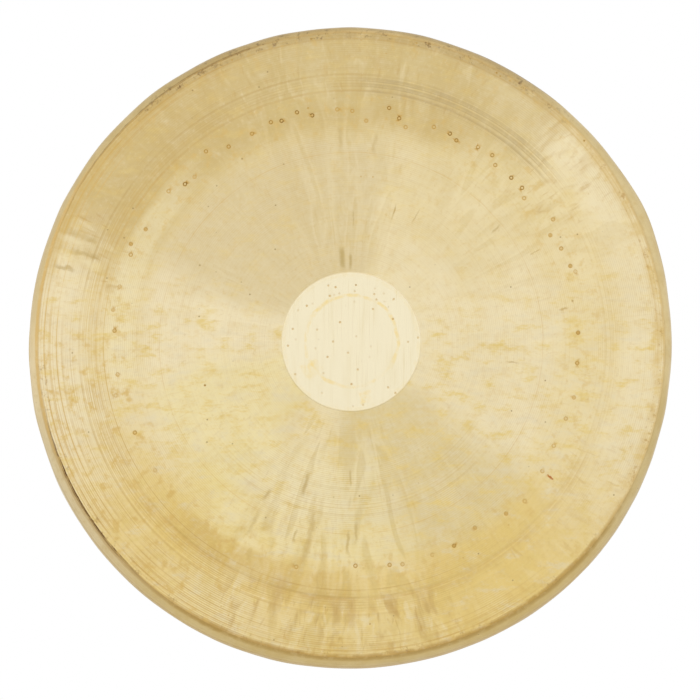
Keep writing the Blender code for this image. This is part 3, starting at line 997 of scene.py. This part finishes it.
def makeTurnedFace():
    finish = faceFinish
    material, tree, shader = newMaterial("turnedFace", finish["roughness"])
    place, direction, radius = useGroup(tree, "placeOnGong").outputs
    flat = {"Direction": direction, "Radius": radius}
    loose = useGroup(tree, "wander", Place=place, **flat).outputs
    tight = useGroup(tree, "wander", Place=place, **flat, **finish["tightWander"]).outputs
    clouds = patchesOf(tree, place, finish["clouds"])
    tints = noiseOf(tree, vectorOf(tree, "ADD", place, (3, 1, 2)), *finish["tintNoise"])
    colour = mixed(tree, clouds, finish["bronze"], finish["pale"])
    colour = shaded(tree, colour, tints, finish["tints"])
    # spots, among them the painted reflection and painted shade of the turned rings
    colour = coloured(tree, colour, finish["stainsAndShading"], loose)
    stretched = vectorOf(tree, "MULTIPLY", place, finish["tarnishScales"])
    tarnish = noiseOf(tree, stretched, *finish["tarnishNoise"])
    height = addNode(tree, "ShaderNodeSeparateXYZ", {0: direction}).outputs["Z"]
    often = ramp(tree, height, *finish["tarnishHeight"])
    colour = shaded(tree, colour, tarnish, finish["tarnish"], often)

    # soft folds, ovals and thin wisps left by the hammer; the folds and ovals show as painted highlights
    # and painted shade
    broad = useGroup(tree, "radialStreaks", **flat, **finish["foldStreaks"]).outputs[0]
    folds = useGroup(tree, "foldSheenAndShade", Streaks=broad, Folds=finish["foldCount"]).outputs
    strength = strongest(tree, finish["foldZones"], loose, finish["foldLeast"])
    for side, cover, tint in finish["folds"]:
        colour = mixed(tree, times(tree, folds[side], strength, cover), colour, tint)
    oval = useGroup(tree, "radialStreaks", **flat, **finish["ovalStreaks"]).outputs[0]
    short = useGroup(tree, "radialStreaks", **flat, **finish["wispStreaks"]).outputs[0]
    strength = strongest(tree, finish["wispZones"], loose, finish["wispLeast"])
    # painted shade in the ovals and painted highlight between them
    colour = shaded(tree, colour, oval, finish["ovalShades"], times(tree, strength, strength))
    colour = shaded(tree, colour, oval, finish["ovalHighlights"], strength)
    wisp = times(tree, ramp(tree, short, *finish["wispShape"]), strength)
    colour = mixed(tree, times(tree, wisp, finish["wispCover"]), colour, finish["wispTint"])
    hair = useGroup(tree, "radialStreaks", **flat, **finish["hairStreaks"]).outputs[0]
    colour = shaded(tree, colour, hair, finish["hairs"])

    # rings from the turning tool, fine and coarse
    lines = useGroup(tree, "turningLines", Place=place, Radius=radius, Pitch=finish["linePitch"]).outputs
    # the tool's grooves painted darker: painted shade in the grooves
    depth = ramp(tree, radius, *finish["lineDepth"])
    darkLine = times(tree, maths(tree, "MAXIMUM", lines["Line"], 0.0), depth)
    colour = mixed(tree, darkLine, colour, finish["lineTint"])
    colour = coloured(tree, colour, finish["lined"], tight, lines["Thin"])
    # painted highlights on the ridges between the tool's lines
    colour = coloured(tree, colour, finish["ridgeHighlights"], tight, ramp(tree, lines["Line"], 0.0, -1.0))
    # painted shade all round the crease
    crease = useGroup(tree, "ringWindow", Radius=tight[1], Middle=creaseRadius(), **finish["creaseRing"])
    crease = times(tree, crease.outputs[0], finish["creaseCover"])
    colour = mixed(tree, crease, colour, finish["creaseShadeTint"])
    broken = patchesOf(tree, place, finish["breaks"])
    colour = coloured(tree, colour, finish["ringLines"], tight, broken)
    # painted shadow along the crease, in broken patches
    patchy = ramp(tree, broken, *finish["creaseBreaks"])
    colour = coloured(tree, colour, finish["creaseShadows"], tight, patchy)
    colour = coloured(tree, colour, finish["smudges"], tight, smudged(tree, place, 0.66))
    ragged = useGroup(tree, "wander", Place=place, **flat, **finish["raggedWander"]).outputs
    colour = coloured(tree, colour, finish["ragged"], ragged)
    rust = patchesOf(tree, vectorOf(tree, "ADD", place, (5, 4, 3)), finish["rustPatches"])
    strength = strongest(tree, finish["rustZones"], (direction, radius), finish["rustLeast"])
    colour = mixed(tree, times(tree, rust, strength, finish["rustCover"]), colour, finish["rust"])

    # fine mottling, stray specks and the stain in every pressed mark
    mottle = noiseOf(tree, place, *finish["mottleNoise"])
    colour = shaded(tree, colour, mottle, finish["mottling"])
    colour = marked(tree, specked(tree, colour, place, *finish["specks"]))
    feed(tree, shader.inputs["Base Color"], colour)
    rough = maths(tree, "MULTIPLY_ADD", clouds, -0.04, finish["roughness"] + 0.03)
    feed(tree, shader.inputs["Roughness"], maths(tree, "MULTIPLY_ADD", wisp, 0.06, rough))
    bumped(tree, shader, zip((lines["Line"], lines["Thin"], broad, mottle), finish["heights"].values()))
    return material


# Small dark smudges of the face and the rim, which come in groups
smudges = {"small": (110, 5, 0.72, 0.51), "groups": (24, 2, 0.5, 0.38, 0.52, 0.2, 1.0)}


def smudged(tree, place, full):
    small = patchesOf(tree, place, (*smudges["small"], full))
    return times(tree, small, patchesOf(tree, place, smudges["groups"]))


def specked(tree, colour, place, scale, size, tint):
    # a few small dark specks: only some cells of the pattern hold one
    cells = addNode(tree, "ShaderNodeTexVoronoi", {"Vector": place, "Scale": scale}, feature="F1").outputs
    pick = addNode(tree, "ShaderNodeSeparateColor", {0: cells["Color"]}).outputs[0]
    chosen = ramp(tree, pick, 0.92, 0.95)
    dot = ramp(tree, cells["Distance"], size * 3.2, size)
    return mixed(tree, times(tree, dot, chosen, 0.7), colour, tint)


def marked(tree, colour):
    stain = addNode(tree, "ShaderNodeAttribute", attribute_name="markStain").outputs["Fac"]
    rusty = mixed(tree, ramp(tree, stain, 0.45, 1.0), faceFinish["markRust"], faceFinish["markDark"])
    return mixed(tree, ramp(tree, stain, 0.02, 0.7), colour, rusty)


# The polished centre, brushed up and down

centreFinish = {
    "cream": (0.915, 0.822, 0.585),
    "broadScales": (110, 1, 14),
    "broadShades": ((0.45, 0.8, 0.5, (0.85, 0.735, 0.47)),),
    "brushScales": (800, 1, 12),
    "brushShades": ((0.52, 0.78, 0.5, (0.8, 0.67, 0.4)),),
    "heights": {"broad": 5e-5, "brush": 5e-6},
    "roughness": 0.27,
    "wander": {"Scale": 38.0, "Sideways": 0.3, "Outwards": 0.008},
    "breaks": (60, 4, 0.65, 0.4, 0.62, 0.15, 1.0),
    "edgeRing": {"Half": 0.0003, "Soft": 0.0009},
    "edgeCover": 0.35,
    "edgeTint": (0.66, 0.5, 0.22),
    "specks": (150, 0.045, (0.55, 0.4, 0.18)),
    "stainTint": (0.9, 0.7, 0.3),
    "stainsAndShading": (
        (30, 75, 30, 58.5, 0.8, 2.4, 0.7),
        (268, 50, 30, 57, 0.8, 2.4, 0.6),
        (180, 50, 30, 57, 0.6, 2.4, 0.4),
        (236, 6, 8, 60, 8, 6, 0.6),
        (166, 4, 5, 72, 5, 5, 0.6),
        (0, 180, 1, 85, 1, 4, 0.2),
    ),
}


def makePolishedCentre():
    finish = centreFinish
    material, tree, shader = newMaterial("polishedCentre", finish["roughness"])
    place, direction, radius = useGroup(tree, "placeOnGong").outputs
    flat = {"Direction": direction, "Radius": radius}
    brush = noiseOf(tree, vectorOf(tree, "MULTIPLY", place, finish["brushScales"]), 1.0, 3.0, 0.6)
    broad = noiseOf(tree, vectorOf(tree, "MULTIPLY", place, finish["broadScales"]), 1.0, 3.0, 0.55)
    colour = shaded(tree, finish["cream"], broad, finish["broadShades"])
    colour = shaded(tree, colour, brush, finish["brushShades"])
    loose = useGroup(tree, "wander", Place=place, **flat, **finish["wander"]).outputs
    stainsAndShading = [(*stain, finish["stainTint"]) for stain in finish["stainsAndShading"]]
    colour = coloured(tree, colour, stainsAndShading, loose, patchesOf(tree, place, finish["breaks"]))
    edge = useGroup(tree, "ringWindow", Radius=radius, Middle=plate["centreRadius"], **finish["edgeRing"])
    colour = mixed(tree, times(tree, edge.outputs[0], finish["edgeCover"]), colour, finish["edgeTint"])
    colour = marked(tree, specked(tree, colour, place, *finish["specks"]))
    feed(tree, shader.inputs["Base Color"], colour)
    bumped(tree, shader, zip((broad, brush), finish["heights"].values()))
    return material


# The turned-back rim. Its spots are as the face's, with the depth in place of the radius.

rimFinish = {
    "bronze": (0.82, 0.67, 0.37),
    "deep": (0.73, 0.57, 0.28),
    "roughness": 0.36,
    "linePitch": 0.0021,
    "lineTint": (0.5, 0.36, 0.16),
    "clouds": (40, 4, 0.6, 0.35, 0.68),
    "patchNoise": (95, 4, 0.68),
    "patches": ((0.5, 0.7, 0.4, (0.74, 0.63, 0.4)), (0.48, 0.3, 0.4, (0.64, 0.45, 0.18))),
    "wander": {"Scale": 60.0, "Sideways": 0.06, "Outwards": 0.002},
    "breaks": (0.36, 0.52, 0.55, 1.0),
    "lineCover": 0.25,
    "heights": {"lines": 1.2e-5, "dents": 2e-4},
    "specks": (140, 0.05, (0.3, 0.2, 0.08)),
    # spots of colour; among them painted light of the band: the darker ones at the top (0 degrees) are
    # painted shade, the pale one at 262 degrees painted reflection, and the thin spots within a millimetre
    # of the crease painted shadow in the crease
    "stainsAndShading": (
        (0, 30, 16, 8, 14, 8, 0.8, (0.54, 0.39, 0.175)),
        (0, 30, 16, 1, 3, 4, 0.6, (0.62, 0.47, 0.225)),
        (185, 40, 25, 8, 14, 8, 0.45, (0.74, 0.53, 0.17)),
        (128, 20, 16, 6, 12, 6, 0.35, (0.72, 0.53, 0.2)),
        (262, 28, 20, 8, 14, 8, 0.65, (0.89, 0.735, 0.46)),
        (302, 20, 18, 6, 12, 6, 0.6, (0.6, 0.45, 0.19)),
        (72, 30, 16, 6, 12, 6, 0.35, (0.6, 0.46, 0.2)),
        (0, 110, 30, 17, 3, 3, 0.6, (0.64, 0.47, 0.17)),
        (180, 40, 30, 32, 17, 4, 0.8, (0.66, 0.44, 0.11)),
        (22, 12, 8, 17, 5, 4, 0.75, (0.3, 0.21, 0.11)),
        (343, 12, 8, 17, 5, 4, 0.4, (0.4, 0.28, 0.12)),
        (344, 12, 8, 4, 5, 6, 0.35, (0.52, 0.36, 0.13)),
        (20, 9, 6, 6, 6, 6, 0.4, (0.5, 0.36, 0.15)),
        (100, 110, 40, 0.4, 0.3, 1, 0.3, (0.54, 0.35, 0.12)),
        (239, 6, 16, 0.4, 0.3, 0.5, 0.85, (0.085, 0.035, 0.015)),
        (232, 22, 14, 1, 0.6, 2.2, 0.55, (0.54, 0.34, 0.11)),
        (168, 38, 16, 0.6, 0.6, 3.4, 0.66, (0.5, 0.31, 0.075)),
        (318, 20, 8, 0.5, 0.1, 0.6, 0.6, (0.22, 0.13, 0.05)),
        (276, 20, 14, 0.8, 0.7, 1.4, 0.9, (0.75, 0.51, 0.19)),
    ),
    "smudge": (0.23, 0.155, 0.08),
    "smudgeSide": {"Clock": 2.0, "Half": 32.0, "Soft": 16.0},
    "smudgeDepth": (0.01, 0.002),
    "smudgeCover": 0.8,
}


def makeTurnedRim():
    finish = rimFinish
    material, tree, shader = newMaterial("turnedRim", finish["roughness"])
    place, direction, radius = useGroup(tree, "placeOnGong").outputs
    depth = addNode(tree, "ShaderNodeSeparateXYZ", {0: place}).outputs["Y"]
    inputs = {"Place": place, "Direction": direction, "Radius": depth}
    loose = useGroup(tree, "wander", **inputs, **finish["wander"]).outputs
    clouds = patchesOf(tree, place, finish["clouds"])
    colour = mixed(tree, clouds, finish["bronze"], finish["deep"])
    patches = noiseOf(tree, vectorOf(tree, "ADD", place, (2, 9, 4)), *finish["patchNoise"])
    colour = shaded(tree, colour, patches, finish["patches"])
    broken = ramp(tree, patches, *finish["breaks"])
    # spots, among them painted shade, painted reflection and painted shadow at the crease
    colour = coloured(tree, colour, finish["stainsAndShading"], loose, broken)
    along = maths(tree, "ADD", depth, radius)
    lines = useGroup(tree, "turningLines", Place=place, Radius=along, Pitch=finish["linePitch"]).outputs
    colour = mixed(tree, times(tree, lines["Thin"], finish["lineCover"]), colour, finish["lineTint"])
    top = useGroup(tree, "clockWindow", Direction=direction, **finish["smudgeSide"]).outputs[0]
    front = ramp(tree, depth, *finish["smudgeDepth"])
    smudge = times(tree, smudged(tree, place, 0.68), top, front, finish["smudgeCover"])
    colour = mixed(tree, smudge, colour, finish["smudge"])
    colour = specked(tree, colour, place, *finish["specks"])
    feed(tree, shader.inputs["Base Color"], colour)
    feed(tree, shader.inputs["Roughness"], maths(tree, "MULTIPLY_ADD", clouds, 0.06, finish["roughness"]))
    hammered = noiseOf(tree, place, 70.0, 3.0)
    bumped(tree, shader, zip((lines["Line"], hammered), finish["heights"].values()))
    return material


# The back, turned like the face but darker

backFinish = {
    "bronze": (0.64, 0.5, 0.262),
    "pale": (0.73, 0.592, 0.335),
    "oxide": (0.3, 0.215, 0.125),
    "roughness": 0.38,
    "linePitch": 0.0027,
    "lineTint": (0.42, 0.3, 0.14),
    "clouds": (13, 5, 0.62, 0.32, 0.68),
    "dirt": (45, 4, 0.65, 0.35, 0.65, 0.25, 0.75),
    "middleFade": 0.004,
    "cornerRing": {"Middle": 0.392, "Half": 0.006, "Soft": 0.02},
    "heights": {"lines": 1.8e-5, "dents": 3e-4},
    "specks": (80, 0.05, (0.24, 0.16, 0.08)),
}


def makeRawBack():
    finish = backFinish
    material, tree, shader = newMaterial("rawBack", finish["roughness"])
    place, direction, radius = useGroup(tree, "placeOnGong").outputs
    flat = {"Direction": direction, "Radius": radius}
    colour = mixed(tree, patchesOf(tree, place, finish["clouds"]), finish["bronze"], finish["pale"])
    streak = useGroup(tree, "radialStreaks", Fan=30.0, Length=0.08, **flat).outputs[0]
    colour = shaded(tree, colour, streak, ((0.5, 0.85, 0.4, finish["oxide"]),))
    lines = useGroup(tree, "turningLines", Place=place, Radius=radius, Pitch=finish["linePitch"]).outputs
    darkLine = times(tree, maths(tree, "MAXIMUM", lines["Line"], lines["Thin"]), 0.4)
    colour = mixed(tree, maths(tree, "MAXIMUM", darkLine, 0.0), colour, finish["lineTint"])
    # oxide in the raw middle and in the corner of the rim
    loose = useGroup(tree, "wander", Place=place, Outwards=0.012, **flat).outputs
    edge = plate["centreRadius"]
    middle = ramp(tree, loose[1], edge + finish["middleFade"], edge - finish["middleFade"])
    corner = useGroup(tree, "ringWindow", Radius=loose[1], **finish["cornerRing"]).outputs[0]
    dirt = patchesOf(tree, place, finish["dirt"])
    worn = times(tree, maths(tree, "MAXIMUM", middle, times(tree, corner, 0.7)), dirt)
    colour = mixed(tree, worn, colour, finish["oxide"])
    colour = specked(tree, colour, place, *finish["specks"])
    feed(tree, shader.inputs["Base Color"], colour)
    feed(tree, shader.inputs["Roughness"], maths(tree, "MULTIPLY_ADD", worn, 0.2, finish["roughness"]))
    hammered = noiseOf(tree, place, 55.0, 3.0)
    bumped(tree, shader, zip((lines["Line"], hammered), finish["heights"].values()))
    return material


def makeGong():
    mesh = turnPlate()
    hammerSide(mesh, "front")
    hammerSide(mesh, "back")
    bendSheet(mesh)
    pressMarks(mesh)
    bmesh.ops.translate(mesh, vec=gongCentre, verts=mesh.verts[:])
    gong = objectFrom("gong", mesh)
    makers = {
        "polishedCentre": makePolishedCentre,
        "turnedFace": makeTurnedFace,
        "turnedRim": makeTurnedRim,
        "rawBack": makeRawBack,
    }
    for zone in zones:
        gong.data.materials.append(makers[zone]())
    drillHoles(gong)
    gong.data.shade_smooth()
    gong.data.set_sharp_from_angle(angle=math.radians(22))
    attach(gong, "root")
    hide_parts("gong_plate")
    gong.data.calc_loop_triangles()
    print("gong made:", len(gong.data.loop_triangles), "triangles")


# Studio

studio = {
    "floorDrop": 1.075,  # below the gong's centre
    "floorRadius": 12.0,
    "floorColour": (0.84, 0.84, 0.83),
    "front": 1.0,  # brightness of the surroundings in front of the gong
    "behind": 0.88,
    "sideways": 0.06,  # how much brighter they are to the sides than above and below
}

camera = {
    "distance": 3.0,
    "pitch": math.radians(6.18),  # the camera stands below the centre and looks up at it
    "lens": 123.56,
    "imagePixels": 700,
    "centrePixel": (351.1, 341.4),  # where the gong's centre shows
}


def makeCamera():
    data = bpy.data.cameras.new("camera")
    eye = bpy.data.objects.new("camera", data)
    bpy.context.scene.collection.objects.link(eye)
    forward = Vector((0, math.cos(camera["pitch"]), math.sin(camera["pitch"])))
    eye.location = gongCentre - forward * camera["distance"]
    eye.rotation_euler = forward.to_track_quat("-Z", "Y").to_euler()
    data.sensor_width = 36
    data.lens = camera["lens"]
    half = camera["imagePixels"] / 2
    data.shift_x = (half - camera["centrePixel"][0]) / camera["imagePixels"]
    data.shift_y = (camera["centrePixel"][1] - half) / camera["imagePixels"]
    data.clip_end = 100
    bpy.context.scene.camera = eye


def makeFloor():
    shape = bmesh.new()
    bmesh.ops.create_circle(shape, cap_ends=True, segments=96, radius=studio["floorRadius"])
    place = gongCentre - Vector((0, 0, studio["floorDrop"]))
    bmesh.ops.translate(shape, vec=place, verts=shape.verts[:])
    floor = objectFrom("floor", shape)
    material, tree, shader = newMaterial("palePaper", 0.8, 0.0)
    feed(tree, shader.inputs["Base Color"], painted(studio["floorColour"]))
    floor.data.materials.append(material)


def makeWorld():
    world = bpy.data.worlds.new("studio")
    bpy.context.scene.world = world
    world.use_nodes = True
    tree = world.node_tree
    background = tree.nodes["Background"]
    towards = addNode(tree, "ShaderNodeTexCoord").outputs["Generated"]
    parts = addNode(tree, "ShaderNodeSeparateXYZ", {0: towards})
    along = ramp(tree, parts.outputs["Y"], -0.9, 0.3, studio["front"], studio["behind"])
    sideways = times(tree, parts.outputs["X"], parts.outputs["X"])
    upright = times(tree, parts.outputs["Z"], parts.outputs["Z"])
    lean = maths(tree, "MULTIPLY_ADD", maths(tree, "SUBTRACT", sideways, upright), studio["sideways"], 1.0)
    level = times(tree, along, lean)
    rays = addNode(tree, "ShaderNodeLightPath")
    shown = maths(tree, "MAXIMUM", rays.outputs["Is Camera Ray"], level)
    feed(tree, background.inputs["Strength"], shown)
    background.inputs["Color"].default_value = (1, 1, 1, 1)


lamp = {"place": (0.5, -1.2, 3.2), "size": 2.4, "power": 4}


def makeLamp():
    data = bpy.data.lights.new("softTop", "AREA")
    data.shape = "DISK"
    data.size = lamp["size"]
    data.energy = lamp["power"]
    light = bpy.data.objects.new("softTop", data)
    bpy.context.scene.collection.objects.link(light)
    light.location = gongCentre + Vector(lamp["place"])
    light.rotation_euler = (gongCentre - light.location).to_track_quat("-Z", "Y").to_euler()


def makeStudio():
    makeFloor()
    makeWorld()
    makeLamp()
    makeCamera()
    bpy.context.scene.view_settings.view_transform = "Standard"
    print("studio made")


makeGroups()
makeGong()
makeStudio()
